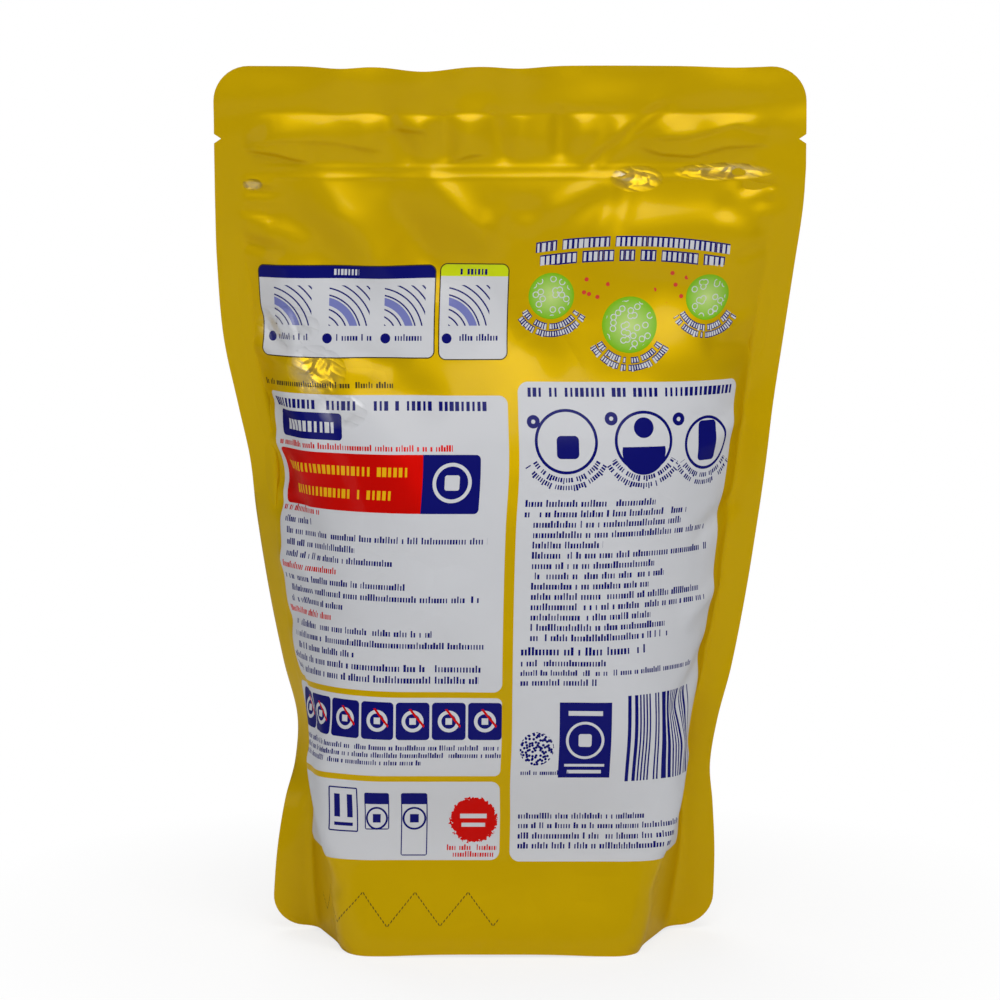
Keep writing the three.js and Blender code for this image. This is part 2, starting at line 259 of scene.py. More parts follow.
# Ledges of the header, where the film above hangs over: places along the lower line, how far up the film
# stands off, and by how much, all in the flat film's millimetres.
LEDGES = [
    ([(-91, 271.6), (-80, 270.2), (-66, 266.8)], 6, 1.8),
    ([(-88, 273.6), (-74, 274.6), (-58, 273.8), (-42, 270.5)], 5, 0.7),
    ([(-43, 276.5), (-38, 278.6), (-29, 277.8), (-25, 270)], 5, 1.4),
    ([(-23, 266.5), (-14, 269.5), (-7, 270)], 5, 0.9),
    ([(42, 273), (51, 270), (62, 269.4), (73, 272.6), (88, 273)], 6, 1.0),
    ([(46, 275), (60, 275.6), (76, 280), (88, 277)], 6, 0.9),
]


def ledge_lift(ledge, along, height):
    """How far a ledge lifts the film. It rises sharply at its lower line, and fades out above it and to its
    ends."""
    line, reach, lift = ledge
    places, line_heights = zip(*line)
    fade = 6
    over = height / MM - np.interp(along / MM, places, line_heights)
    starting = smoothstep(along / MM, places[0], places[0] + fade)
    ending = smoothstep(along / MM, places[-1] - fade, places[-1])
    above = smoothstep(over, -0.6, 0.8) * np.exp(-((np.maximum(over, 0) / reach) ** 2))
    return lift * MM * starting * (1 - ending) * above


def fold_lift(fold, along, height):
    (x0, z0), (x1, z1), width, lift = fold
    start = np.array((x0 * HALF, z0 * ZIP_HEIGHT))
    line = np.array((x1 * HALF, z1 * ZIP_HEIGHT)) - start
    t = np.clip(((along - start[0]) * line[0] + (height - start[1]) * line[1]) / (line @ line), 0, 1)
    gap = np.hypot(along - start[0] - t * line[0], height - start[1] - t * line[1])
    return lift * MM * np.exp(-((gap / (width * MM)) ** 2))


def crease_lift(crease, along, height):
    (x0, z0), (x1, z1), width, lift = crease
    shares = ((x0 * MM / HALF, z0 * MM / ZIP_HEIGHT), (x1 * MM / HALF, z1 * MM / ZIP_HEIGHT))
    return fold_lift((*shares, width, lift), along, height)


# The puckers under the top seal, and the dips of the top edge: a place along, a width and a height.
PUCKERS = [
    (-80, 9, 0.6),
    (-64, 11, 0.7),
    (-48, 6, 1.0),
    (-31, 7, 1.0),
    (-14, 6, 1.1),
    (4, 5, 0.9),
    (12, 3, 0.5),
    (25, 5, 1.0),
    (36, 3, 0.5),
    (54, 9, 0.8),
    (72, 8, 0.8),
]
PUCKER_HEIGHT, PUCKER_BASE = 2.4 * MM, 0.15
ZIP_RIB, ZIP_RIB_WIDTH = 0.18 * MM, 0.8 * MM
TOP_DIPS = [(-57, 8, 0.8), (-29, 12, 1.7), (3, 9, 0.8), (76, 12, 0.5)]
DIP_RISE, DIP_LEAN = 24 * MM, 3


def bumps(table, along):
    return sum(lift * np.exp(-(((along / MM - centre) / width) ** 2)) for centre, width, lift in table)


def header_lift(along, height):
    """The two ribs of the press-to-close strip, and the puckers between it and the top seal."""
    loose = smoothstep(HALF - SIDE_SEAL - np.abs(along), 0, 12 * MM)
    over_rib, over_second = height - ZIP_HEIGHT, height - ZIP_HEIGHT + ZIP_PITCH
    ribs = np.exp(-((over_rib / ZIP_RIB_WIDTH) ** 2)) + np.exp(-((over_second / ZIP_RIB_WIDTH) ** 2))
    under_seal = POUCH_HEIGHT - TOP_SEAL - height
    leaving = 1 - np.exp(-np.maximum(under_seal, 0) / (3.2 * MM))
    band = leaving * (1 - smoothstep(under_seal, 5 * MM, 17 * MM))
    return (ZIP_RIB * ribs + PUCKER_HEIGHT * band * (PUCKER_BASE + bumps(PUCKERS, along))) * loose


def top_dip(along, height):
    return bumps(TOP_DIPS, along) * smoothstep(height, POUCH_HEIGHT - DIP_RISE, POUCH_HEIGHT) * MM


# The neck leans towards the back panel, more on its left, and the header and the side seals are wavy.
NECK_FOOT = 185 * MM
NECK_LEAN, LEFT_LEAN = 9 * MM, 11.5 * MM
HEADER_WAVE, HEADER_UNEVEN, SEAL_WAVE = 1.8, 0.28, 1.2


def sway(along, height):
    """How far the neck leans, and the sealed header and the side seals bend, out of flat."""
    x, z = along / MM, height / MM
    seal_foot = POUCH_HEIGHT - TOP_SEAL
    in_header = smoothstep(height, ZIP_HEIGHT - 30 * MM, seal_foot)
    header = np.sin(x / 21 + 0.6) + 0.5 * np.sin(x / 11 - 1)
    uneven = np.sin(x / 13 + 1.2 * np.sin(z / 7)) * np.sin(z / 3.4 + x / 30 + 1)
    header = header + HEADER_UNEVEN * uneven * smoothstep(height, ZIP_HEIGHT, seal_foot)
    in_seal = smoothstep(np.abs(along), HALF - SIDE_SEAL, HALF) * smoothstep(height, 40 * MM, 90 * MM)
    seal = np.sin(z / 17 + np.sign(along))
    on_left = 1 - smoothstep(along, 5 * MM, 45 * MM)
    lean = NECK_LEAN * (1 - on_left) * smoothstep(height, NECK_FOOT, ZIP_HEIGHT)
    lean += LEFT_LEAN * on_left * smoothstep(height, NECK_FOOT, POUCH_HEIGHT - 4 * MM)
    lean += DIP_LEAN * top_dip(along, height)
    return (HEADER_WAVE * in_header * header + SEAL_WAVE * in_seal * seal * (1 - in_header)) * MM - lean


FOOT_ARCH, ARCH_HALF_WIDTH, ARCH_RISE = 0.9 * MM, 34 * MM, 25 * MM


def film_place(side, along, height):
    """Where each place of a panel's outer face lies, for arrays of rows by columns."""
    across, depth, centre, seam, bend = filled_section(height[:, 0])
    steps = across.shape[1] - 1
    at = np.abs(along) / HALF * steps
    i = np.minimum(at.astype(int), steps - 1)
    row = np.arange(len(at))[:, None]
    part = at - i
    run = (across[row, i + 1] - across[row, i]) / (HALF / steps)
    fall = (depth[row, i + 1] - depth[row, i]) / (HALF / steps)
    x = centre[:, None] + np.sign(along) * (across[row, i] + part * (across[row, i + 1] - across[row, i]))
    y = depth[row, i] + part * (depth[row, i + 1] - depth[row, i])
    folds = BACK_FOLDS if side == BACK else FRONT_FOLDS
    lift = sum(fold_lift(fold, along, height) for fold in folds)
    lift = lift * smoothstep(depth[:, :1], 0, 3 * MM) + header_lift(along, height)
    if side == BACK:
        lift += sum(crease_lift(crease, along, height) for crease in CREASES)
        lift += sum(ledge_lift(ledge, along, height) for ledge in LEDGES)
    low_down = 1 - smoothstep(height, 0, ARCH_RISE)
    foot_arch = FOOT_ARCH * np.exp(-((along / ARCH_HALF_WIDTH) ** 4)) * low_down
    far_out = np.clip((np.abs(along) - REST_WIDTH / 2) / (HALF - REST_WIDTH / 2), 0, 1) ** 2
    raised = CORNER_LIFT * far_out * np.clip(1 - height / FOOT_SEAL_RISE, 0, 1) ** 2
    on_left_seal = np.maximum(-along - seam[:, None], 0)
    bend = bend[:, None]
    place_x = x - np.sign(along) * fall * lift + on_left_seal * (1 - np.cos(bend))
    place_y = side * (SEAL_THICKNESS / 2 + y + run * lift) + sway(along, height)
    place_y += on_left_seal * np.sin(bend)
    place_z = height + raised + foot_arch - top_dip(along, height)
    return np.stack([place_x, place_y, place_z], -1)


def blank_rows():
    """Heights of the mesh's rows: even stretches between the lines at which something is made."""
    def stretch(start, end, step):
        return list(np.linspace(start, end, max(round((end - start) / step), 1) + 1)[:-1])
    notch = POUCH_HEIGHT - NOTCH_DROP
    rows = [FOOT_CORNER * (1 - math.sin(math.radians(a))) for a in range(90, 0, -9)]
    rows += stretch(FOOT_CORNER, ZIP_HEIGHT - 8 * MM, 1.5 * MM)
    rows += stretch(ZIP_HEIGHT - 8 * MM, notch - NOTCH_HEIGHT / 2, 0.5 * MM)
    rows += stretch(notch - NOTCH_HEIGHT / 2, notch + NOTCH_HEIGHT / 2, NOTCH_HEIGHT / 4)
    rows += stretch(notch + NOTCH_HEIGHT / 2, POUCH_HEIGHT - TOP_CORNER, 0.8 * MM)
    rows += [POUCH_HEIGHT - TOP_CORNER * (1 - math.sin(math.radians(a))) for a in range(0, 91, 9)]
    return np.array(rows)


def blank_columns(height):
    """Where each row's columns stand: even across the loose film, then closer out to the blank's edge."""
    width, turn = side_seal(height)
    edge = blank_half_width(height)
    inner = np.minimum(HALF - width - turn / 2, edge - 4 * MM)[:, None]
    outer = np.minimum(HALF - width + turn / 2, edge - 2 * MM)[:, None]
    edge = edge[:, None]
    loose = inner * np.linspace(-1, 1, 131)
    turning = inner + (outer - inner) * np.array([0.25, 0.5, 0.75, 1.0])
    sealed = outer + (edge - outer) * np.array([0.2, 0.4, 0.6, 0.8, 1.0])
    beyond = np.hstack([turning, sealed])
    return np.hstack([-beyond[:, ::-1], loose, beyond])


heights = blank_rows()
columns = blank_columns(heights)
row_heights = np.repeat(heights[:, None], columns.shape[1], 1)
panels = []
for name, side in (("back_panel", BACK), ("front_panel", FRONT)):
    bpy.ops.object.select_all(action="DESELECT")
    bpy.ops.mesh.primitive_grid_add(
        x_subdivisions=columns.shape[1] - 1, y_subdivisions=columns.shape[0] - 1, size=1, calc_uvs=False
    )
    panel = bpy.context.object
    panel.name = name
    panel.data.vertices.foreach_set("co", film_place(side, columns, row_heights).ravel())
    flat_place = np.stack([columns / MM, row_heights / MM, np.full_like(columns, side)], -1)
    layer = panel.data.attributes.new("flat_place", "FLOAT_VECTOR", "POINT")
    layer.data.foreach_set("vector", flat_place.ravel())
    panels.append(panel)

# The foot
# The gusset is a third film, folded up between the panels and heat-sealed to a narrow skirt along their
# lower edges. It opens as the bag fills, and its middle is pressed on to the table by the contents.
GUSSET_CUTS = 11
GUSSET_STEPS = (GUSSET_CUTS + 1) // 2
pouch = panels[0]
bpy.ops.object.select_all(action="DESELECT")
for panel in panels:
    panel.select_set(True)
bpy.context.view_layer.objects.active = pouch
bpy.ops.object.join()
pouch.name = "film_pouch"
bpy.ops.object.mode_set(mode="EDIT")
bpy.ops.mesh.select_mode(type="EDGE")
bpy.ops.mesh.select_all(action="DESELECT")
bpy.ops.mesh.select_non_manifold(extend=False)
bpy.ops.mesh.bridge_edge_loops()
bpy.ops.mesh.select_all(action="DESELECT")
bpy.ops.object.mode_set(mode="OBJECT")

front_start = columns.size
ends = np.zeros(2 * len(pouch.data.edges), int)
pouch.data.edges.foreach_get("vertices", ends)
ends = np.sort(ends.reshape(-1, 2), 1)
crosses_foot = (ends[:, 0] < columns.shape[1]) & (ends[:, 1] - ends[:, 0] == front_start)
pouch.data.edges.foreach_set("select", crosses_foot)
bpy.ops.object.mode_set(mode="EDIT")
bpy.ops.mesh.subdivide(number_cuts=GUSSET_CUTS)
bpy.ops.mesh.select_all(action="SELECT")
bpy.ops.mesh.normals_make_consistent(inside=False)
bpy.ops.object.mode_set(mode="OBJECT")


def vertex_values(thing, layer, key):
    values = np.zeros(3 * len(thing.data.vertices), np.float32)
    layer.foreach_get(key, values)
    return values.reshape(-1, 3).astype(float)


def gusset_place(along, side):
    """Where the gusset lies: up the inside of the skirt, down to the part that rests on the table, and up
    again. The side runs from -1 at the back panel's edge to 1 at the front panel's."""
    foot = np.zeros((1, len(along)))
    back, front = film_place(BACK, along[None], foot)[0], film_place(FRONT, along[None], foot)[0]
    depth = front[:, 1] - back[:, 1]
    opened = smoothstep(depth, 3 * SEAL_THICKNESS, 24 * MM)
    rested = 1 - smoothstep(np.abs(back[:, 0]), REST_WIDTH / 2, REST_WIDTH / 2 + 22 * MM)
    step = np.round((1 - np.abs(side)) * GUSSET_STEPS).astype(int)
    shares = np.array([0, 0.03, 0.05, 0.14, 0.26, 0.38, 0.5])[step]
    rises = np.array([0, 0.5, 1.0, 0.75, 0.42, 0.14, 0.0])[step]
    skirt_inset = np.array([0, 1, 2.2, 0, 0, 0, 0])[step] * SEAL_THICKNESS
    inset = np.where(step < 3, opened * skirt_inset + (1 - opened) * shares * depth, shares * depth)
    rise = SKIRT * opened * (rises + (1 - rested) * np.where(step > 2, (1 - rises) * 0.5, 0))
    base = np.where((side < 0)[:, None], back, front)
    base[:, 2] *= np.where(step > 2, 1 - opened * rested, 1)
    return base + np.stack([np.zeros_like(depth), -np.sign(side) * inset, rise], -1)


mesh = pouch.data
corners = vertex_values(pouch, mesh.vertices, "co")
flat_place = vertex_values(pouch, mesh.attributes["flat_place"].data, "vector")
on_gusset = np.abs(flat_place[:, 2]) < 0.99
corners[on_gusset] = gusset_place(flat_place[on_gusset, 0] * MM, flat_place[on_gusset, 2])
below_print = -30
flat_place[on_gusset, 1] = below_print
middle = (corners.min(0) + corners.max(0)) / 2
lo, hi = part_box("pouch")
corners += (Vector(lo) + Vector(hi)) / 2 - Vector(middle)
corners[:, 2] += lo[2] - corners[:, 2].min()
mesh.vertices.foreach_set("co", corners.ravel())
mesh.attributes["flat_place"].data.foreach_set("vector", flat_place.ravel())
bpy.ops.object.shade_smooth_by_angle(angle=math.radians(50))

# The printed film
# A yellow ink over a bright laminate has a metal-like sheen. Opaque white, blue, red and green are printed
# on it, with a clear gloss over all. The print lies in the flat film's own millimetres: along, and up.


class Socket:
    """An output in a material. Maths on it reads as an expression and adds its Math nodes."""

    def __init__(self, tree, output):
        self.tree, self.output = tree, output

    def add(self, kind, settings, inputs, output=0):
        """Adds a node of any kind: its settings first, then the values or links of its sockets."""
        node = self.tree.nodes.new(kind)
        for name, value in settings.items():
            if name == "stops":
                for i, (at, colour) in enumerate(value):
                    stop = node.color_ramp.elements[i] if i < 2 else node.color_ramp.elements.new(at)
                    stop.position, stop.color = at, colour
            elif name == "interpolation":
                node.color_ramp.interpolation = value
            else:
                setattr(node, name, value)
        for key, value in inputs.items():
            if isinstance(value, Socket):
                self.tree.links.new(value.output, node.inputs[key])
            else:
                node.inputs[key].default_value = value
        return Socket(self.tree, node.outputs[output])

    def beside(self, output):
        """Another output of the same node."""
        return Socket(self.tree, self.output.node.outputs[output])

    def maths(self, operation, *values):
        return self.add("ShaderNodeMath", {"operation": operation}, dict(enumerate((self, *values))))

    def vector(self, operation, *values, output=0):
        settings = {"operation": operation}
        return self.add("ShaderNodeVectorMath", settings, dict(enumerate((self, *values))), output)

    def __add__(self, other):
        return self.maths("ADD", other)

    __radd__ = __add__

    def __sub__(self, other):
        return self.maths("SUBTRACT", other)

    def __rsub__(self, other):
        return (self * -1) + other

    def __mul__(self, other):
        return self.maths("MULTIPLY", other)

    __rmul__ = __mul__

    def __truediv__(self, other):
        return self.maths("DIVIDE", other)

    def __abs__(self):
        return self.maths("ABSOLUTE")

    def __lt__(self, other):
        return self.maths("LESS_THAN", other)

    def __gt__(self, other):
        return self.maths("GREATER_THAN", other)

    def floor(self):
        return self.maths("FLOOR")

    def max(self, other):
        return self.maths("MAXIMUM", other)

    def min(self, other):
        return self.maths("MINIMUM", other)

    def chosen(self, mask, other):
        """This number, or the other one where the mask is 1."""
        return self + mask * (other - self)

    def painted(self, mask, ink):
        """This colour, with an ink over it where the mask is 1."""
        return self.add("ShaderNodeMix", {"data_type": "RGBA"}, {0: mask, 6: self, 7: ink}, 2)


YELLOW = (0.61, 0.395, 0.0, 1)
WHITE = (0.60, 0.61, 0.64, 1)
BLUE = (0.003, 0.004, 0.14, 1)
PALE_BLUE = (0.17, 0.19, 0.46, 1)
RED = (0.62, 0.002, 0.0, 1)
LABEL_YELLOW = (0.78, 0.42, 0.005, 1)
LIME = (0.56, 0.66, 0.008, 1)
GREEN = (0.18, 0.46, 0.004, 1)
PALE_GREEN = (0.55, 0.70, 0.25, 1)
PINK = (0.60, 0.05, 0.03, 1)
DARK = (0.05, 0.035, 0.01, 1)


def start_print(name):
    """A film with nothing but its yellow on it. All that is painted next goes on this one."""
    global tree, skin, flat, along, up, place, colour
    film = bpy.data.materials.new(name)
    film.use_nodes = True
    tree = film.node_tree
    skin = tree.nodes["Principled BSDF"]
    flat = Socket(tree, None).add("ShaderNodeAttribute", {"attribute_name": "flat_place"}, {}, "Vector")
    apart = flat.add("ShaderNodeSeparateXYZ", {}, {0: flat})
    along, up = apart, apart.beside(1)
    place = flat.add("ShaderNodeCombineXYZ", {}, {0: along, 1: up, 2: 0.0})
    colour = flat.add("ShaderNodeMix", {"data_type": "RGBA"}, {0: 0.0, 6: YELLOW, 7: YELLOW}, 2)
    pouch.data.materials.append(film)


def paint(mask, ink):
    global colour
    colour = colour.painted(mask, ink)


def within(value, low, high):
    """1 where a value lies between two others."""
    return value.maths("COMPARE", (low + high) / 2, (high - low) / 2)


def box(left, foot, right, top, radius=0.0):
    """1 inside a box, whose corners may be rounded."""
    if not radius:
        return within(along, left, right) * within(up, foot, top)
    centre = ((left + right) / 2, (foot + top) / 2, 0)
    core = ((right - left) / 2 - radius, (top - foot) / 2 - radius, 0)
    out = place.vector("SUBTRACT", centre).vector("ABSOLUTE").vector("SUBTRACT", core)
    return out.vector("MAXIMUM", (0, 0, 0)).vector("LENGTH", output="Value") < radius + 0.001


def away(x, y):
    """The distance from a place."""
    return place.vector("DISTANCE", (x, y, 0), output="Value")


def ring(x, y, radius, stroke):
    return within(away(x, y), radius - stroke / 2, radius + stroke / 2)


# Shares of a block's size: the pitch, the height that a tall block has more, and the least half width. Then
# the chances of a gap between words and of a tall block.
BLOCK_PITCH, TALLER_BY, HALF_BLOCK = 0.6, 0.40, 0.12
WORD_GAPS, TALL_BLOCKS = 0.14, 0.24


def blocks(start, lift, size, seed, plain):
    """Rows of upright blocks of uneven width and height, in word-like groups. Gives the distance out of the
    nearest block, as a share of the size, at a distance from the row's start and above its middle. Plain
    rows have no tall blocks."""
    step = start / (size * BLOCK_PITCH)
    cell = step.floor()
    across = abs(step - cell - 0.5) * BLOCK_PITCH
    key = cell.add("ShaderNodeCombineXYZ", {}, {0: cell, 1: seed})
    chance = key.add("ShaderNodeTexWhiteNoise", {"noise_dimensions": "2D"}, {0: key}, "Color")
    three = chance.add("ShaderNodeSeparateColor", {}, {0: chance})
    word_gap, width, tall = three < WORD_GAPS, three.beside(1), three.beside(2)
    high = (tall > 1 - TALL_BLOCKS) * (TALLER_BY - plain * TALLER_BY)
    level = lift / size
    block = (across - width * HALF_BLOCK - HALF_BLOCK).max(abs(level - high / 2) - high / 2 - 0.5)
    return block + word_gap


# Rows of small blocks on the left and on the right: the middle's height, start, end, size, 1 where the row
# is plain, and an ink.
LEFT_ROWS = [
    (192.5, -88, -38, 1.5, 0, DARK),
    (186.0, -86, -6, 3.1, 1, BLUE),
    (178.6, -82, -59, 3.6, 1, WHITE),
    (172.0, -86, -18, 1.5, 0, RED),
    (164.4, -83, -32, 3.1, 1, LABEL_YELLOW),
    (156.6, -79, -38, 3.1, 1, LABEL_YELLOW),
]
LEFT_BODY = [
    (-87, -66, RED), (-87, -71, BLUE), (-84, -5, BLUE), (-84, -51, BLUE), (-84, -37, BLUE), (-86, -58, RED),
    (-86, -31, BLUE), (-83, -7, BLUE), (-83, -55, BLUE), (-86, -59, RED), (-83, -23, BLUE), (-83, -5, BLUE),
    (-80, -50, BLUE), (-86, -5, BLUE), (-86, -7, BLUE),
]
LEFT_BODY_TOP, LEFT_BODY_PITCH = 149.3, 3.9
LARGER_FROM = 13
for i, (start, end, ink) in enumerate(LEFT_BODY):
    size = 1.6 if i < LARGER_FROM else 1.75
    LEFT_ROWS.append((LEFT_BODY_TOP - i * LEFT_BODY_PITCH, start, end, size, 0, ink))
LEFT_ROWS += [
    (71.6, -84, 1, 1.3, 0, BLUE),
    (69.0, -84, 1, 1.3, 0, BLUE),
    (66.4, -84, -26, 1.3, 0, BLUE),
    (36.6, -17, 0, 1.4, 0, RED),
    (34.3, -15, -1, 1.4, 0, RED),
]
RIGHT_ROWS = [
    (241.0, 10, 76, 3.0, 1, WHITE),
    (236.4, 8, 78, 3.0, 1, WHITE),
    (190.6, 7.5, 82, 3.0, 1, BLUE),
]
RIGHT_BODY = [
    (7, 52), (7, 65), (10, 63), (10, 76), (10, 34), (10, 77), (10, 53), (10, 57), (10, 51), (10, 74),
    (10, 77), (10, 52), (10, 58), (10, 60),
]
RIGHT_BODY_TOP, RIGHT_BODY_PITCH = 154.0, 3.45
for i, (start, end) in enumerate(RIGHT_BODY):
    RIGHT_ROWS.append((RIGHT_BODY_TOP - i * RIGHT_BODY_PITCH, start, end, 1.65, 0, BLUE))
RIGHT_ROWS += [
    (104.5, 7, 50, 2.0, 0, BLUE),
    (100.6, 7, 36, 1.6, 0, BLUE),
    (97.3, 7, 73, 1.4, 0, BLUE),
    (94.0, 7, 33, 1.6, 0, BLUE),
    (63.0, 7, 24, 1.2, 0, BLUE),
    (47.6, 7, 51, 1.5, 0, BLUE),
    (44.2, 7, 74, 1.5, 0, BLUE),
    (40.6, 7, 77, 1.6, 0, BLUE),
    (37.2, 7, 76, 1.6, 0, BLUE),
]

# A ramp's colours hold each row's measures as shares: its start and end of the panel's width, its size of
# 10 mm with a half added where the row is plain, and its middle of the span of heights that holds the rows.
SPAN_FOOT, SPAN = 25.0, 225.0
WIDE, LARGEST, PLAIN = 200, 10, 0.5


def row_stops(rows):
    """The stops of two stepped ramps over the height: what each row measures, and its ink."""
    rows = sorted(rows)
    measures, inks = [(0, (0, 0, 0, 0))], [(0, BLUE)]
    for i, (middle, start, end, size, plain, ink) in enumerate(rows):
        foot = middle - size * 1.15
        if i and foot < rows[i - 1][0] + rows[i - 1][3]:
            foot = (middle + rows[i - 1][0]) / 2
        at = (foot - SPAN_FOOT) / SPAN
        ends = (start + WIDE / 2) / WIDE, (end + WIDE / 2) / WIDE
        measures.append((at, (*ends, size / LARGEST + plain * PLAIN, (middle - SPAN_FOOT) / SPAN)))
        inks.append((at, ink))
    return measures, inks


pouch.data.materials.clear()
start_print("film_back")
left_measures, left_inks = row_stops(LEFT_ROWS)
right_measures, right_inks = row_stops(RIGHT_ROWS)
on_right = along > 3.0
over_discs, discs_middle, bow = 232, 42, 0.00245
bowed = up + (up > over_discs) * on_right * (along - discs_middle) * (along - discs_middle) * bow
at_height = (bowed - SPAN_FOOT) / SPAN


def stepped_ramp(stops, value):
    settings = {"interpolation": "CONSTANT", "stops": stops}
    return value.add("ShaderNodeValToRGB", settings, {0: value})


left_row = stepped_ramp(left_measures, at_height)
right_row = stepped_ramp(right_measures, at_height)
row = left_row.painted(on_right, right_row)
ink = stepped_ramp(left_inks, at_height).painted(on_right, stepped_ramp(right_inks, at_height))
row_parts = row.add("ShaderNodeSeparateColor", {}, {0: row})
row_start = row_parts * WIDE - WIDE / 2
row_end = row_parts.beside(1) * WIDE - WIDE / 2
row_plain = row_parts.beside(2) > PLAIN - 0.001
row_size = (row_parts.beside(2) - row_plain * PLAIN) * LARGEST
row_middle = left_row.beside(1).chosen(on_right, right_row.beside(1)) * SPAN + SPAN_FOOT
row_block = blocks(along - row_start, bowed - row_middle, row_size.max(0.5), row_middle, row_plain)
in_row = (along > row_start) * (along < row_end) * (row_size > 0.5)

# the two boxes of the header
LINE = 0.4
for left, foot, right, top, heading_foot, heading_ink in (
    (-86.0, 202.0, -24.0, 232.5, 228.4, BLUE),
    (-22.0, 201.5, 1.0, 233.0, 229.0, LIME),
):
    header_box = box(left, foot, right, top, 2.2)
    paint(box(left - LINE, foot - LINE, right + LINE, top + LINE, 2.2 + LINE), DARK)
    paint(header_box, WHITE)
    paint(header_box * (up > heading_foot), heading_ink)
for left in (-80, -60, -41, -19):
    window = box(left, 212.5, left + 14, 226)
    fan = away(left - 3, 209)
    paint(window * (fan.maths("MODULO", 2.3) < 0.5), BLUE)
    paint(window * within(fan, 10.7, 13.3), PALE_BLUE)
caption = blocks(along, up - 208.3, 1.6, 7.0, 0) < 0
for disc, end in ((-82.5, -67), (-60.5, -45), (-40.5, -28), (-19.5, -2)):
    paint(away(disc, 208.3) < 1.7, BLUE)
    paint(within(along, disc + 3, end) * caption, BLUE)
heading = blocks(along, up - 230.5, 2.0, 5.0, 1) < 0
paint(within(along, -60, -50) * heading, WHITE)
paint(within(along, -15.5, -6) * heading, BLUE)

# the white fields
paint(box(-88, 91, 1.0, 189.5, 3), WHITE)
paint(box(-88, 62, 1.0, 89, 2), WHITE)
paint(box(-88, 32.5, 1.0, 60, 3), WHITE)
paint(box(4.5, 32, 83.5, 194, 3.5), WHITE)

# the label, and the field of two colours
paint(box(-84, 174.4, -56, 183.4, 1.4), BLUE)
notice = box(-86, 150.8, -8.5, 170.2, 1.6)
paint(notice, RED)
paint(notice * (along > -28), BLUE)
paint(ring(-18, 161, 6, 1.2), WHITE)
paint(box(-20.5, 158.5, -15.5, 163.5, 0.8), WHITE)

# the row of small squares
SQUARES_START, SQUARE_PITCH = -84, 12.2
square = (along - SQUARES_START) / SQUARE_PITCH
in_square = square.maths("FRACT") * SQUARE_PITCH - SQUARE_PITCH / 2
square_row = (along > SQUARES_START) * (along < 1.4)
from_middle = flat.add("ShaderNodeCombineXYZ", {}, {0: in_square, 1: up - 81, 2: 0.0})
squarish = from_middle.vector("ABSOLUTE").vector("SUBTRACT", (4.4, 5.1, 0)).vector("MAXIMUM", (0, 0, 0))
paint(square_row * (squarish.vector("LENGTH", output="Value") < 1.3), BLUE)
from_centre = from_middle.vector("LENGTH", output="Value")
paint(square_row * within(from_centre, 2.5, 3.7), WHITE)
paint(square_row * within(in_square, -1.1, 1.1) * within(up, 79.9, 82.1), WHITE)
paint(square_row * within(in_square + (up - 84) * 0.8, -0.5, 0.5) * (from_centre < 4.3), RED)

# the marks of the lower field
paint(box(-58.5, 42, -48, 57.5, 0.6), BLUE)
paint(box(-58, 42.5, -48.5, 57), WHITE)
paint(box(-56.5, 47, -54.5, 55) + box(-52, 47, -50, 55) + box(-56.5, 44, -50, 45.2), BLUE)
for left, foot in ((-45.5, 43), (-32.5, 34)):
    paint(box(left, foot, left + 9, 56, 0.8), BLUE)
    paint(box(left + LINE, foot + LINE, left + 9 - LINE, 52), WHITE)
    paint(ring(left + 4.5, 47, 3.7, 0.7) + box(left + 3, 45.5, left + 6, 48.5), BLUE)
blob = away(-7.8, 46.5)
ripple = flat.add("ShaderNodeTexNoise", {"noise_dimensions": "2D"}, {0: place, "Scale": 0.9, "Detail": 2.0})
paint(blob + ripple * 3 < 9.4, RED)
paint(box(-12.5, 47, -3.5, 48.6) + box(-12, 44, -4, 45.4), WHITE)

# three rings with a plain shape in each
RINGS = ((20.5, 174.5, 10.2), (47.0, 174.5, 9.6), (71.0, 173, 8.6))
for x, y, radius in RINGS:
    paint(ring(x, y, radius, 1.0), BLUE)
for x, y in ((9.5, 181), (36, 182), (59.5, 181.5)):
    paint(away(x, y) < 2.2, BLUE)
    paint(away(x, y) < 0.7, WHITE)
paint(box(17.2, 168.8, 24.8, 176.4, 1.6), BLUE)
paint((away(47, 171) < 7.6) * (up < 172.7), BLUE)
paint(away(47, 179) < 3.4, BLUE)
paint(box(67.4, 167, 74.8, 180.5, 1.4), BLUE)

# the marks beside the block of bars
grain = flat.add("ShaderNodeTexVoronoi", {"voronoi_dimensions": "2D"}, {"Vector": place, "Scale": 0.9})
paint((away(13, 71.5) < 5.8) * (grain < 0.42), BLUE)
paint(box(20.5, 61.5, 38, 87.5), BLUE)
paint(ring(29.2, 74.5, 6, 0.9), WHITE)
paint(box(27, 72.3, 31.4, 76.7, 0.8), WHITE)
paint(box(22.5, 65.4, 36, 66.3) + box(23.5, 83, 35, 84.6) + box(23.5, 63, 35, 64.2), WHITE)
BAR_PITCH = 0.62
bar = along / BAR_PITCH
bar_key = flat.add("ShaderNodeCombineXYZ", {}, {0: bar.floor(), 1: 3.0})
bar_chance = flat.add("ShaderNodeTexWhiteNoise", {"noise_dimensions": "2D"}, {0: bar_key}, 0)
paint(box(43, 60, 79, 89.5) * (bar_chance > 0.5), BLUE)

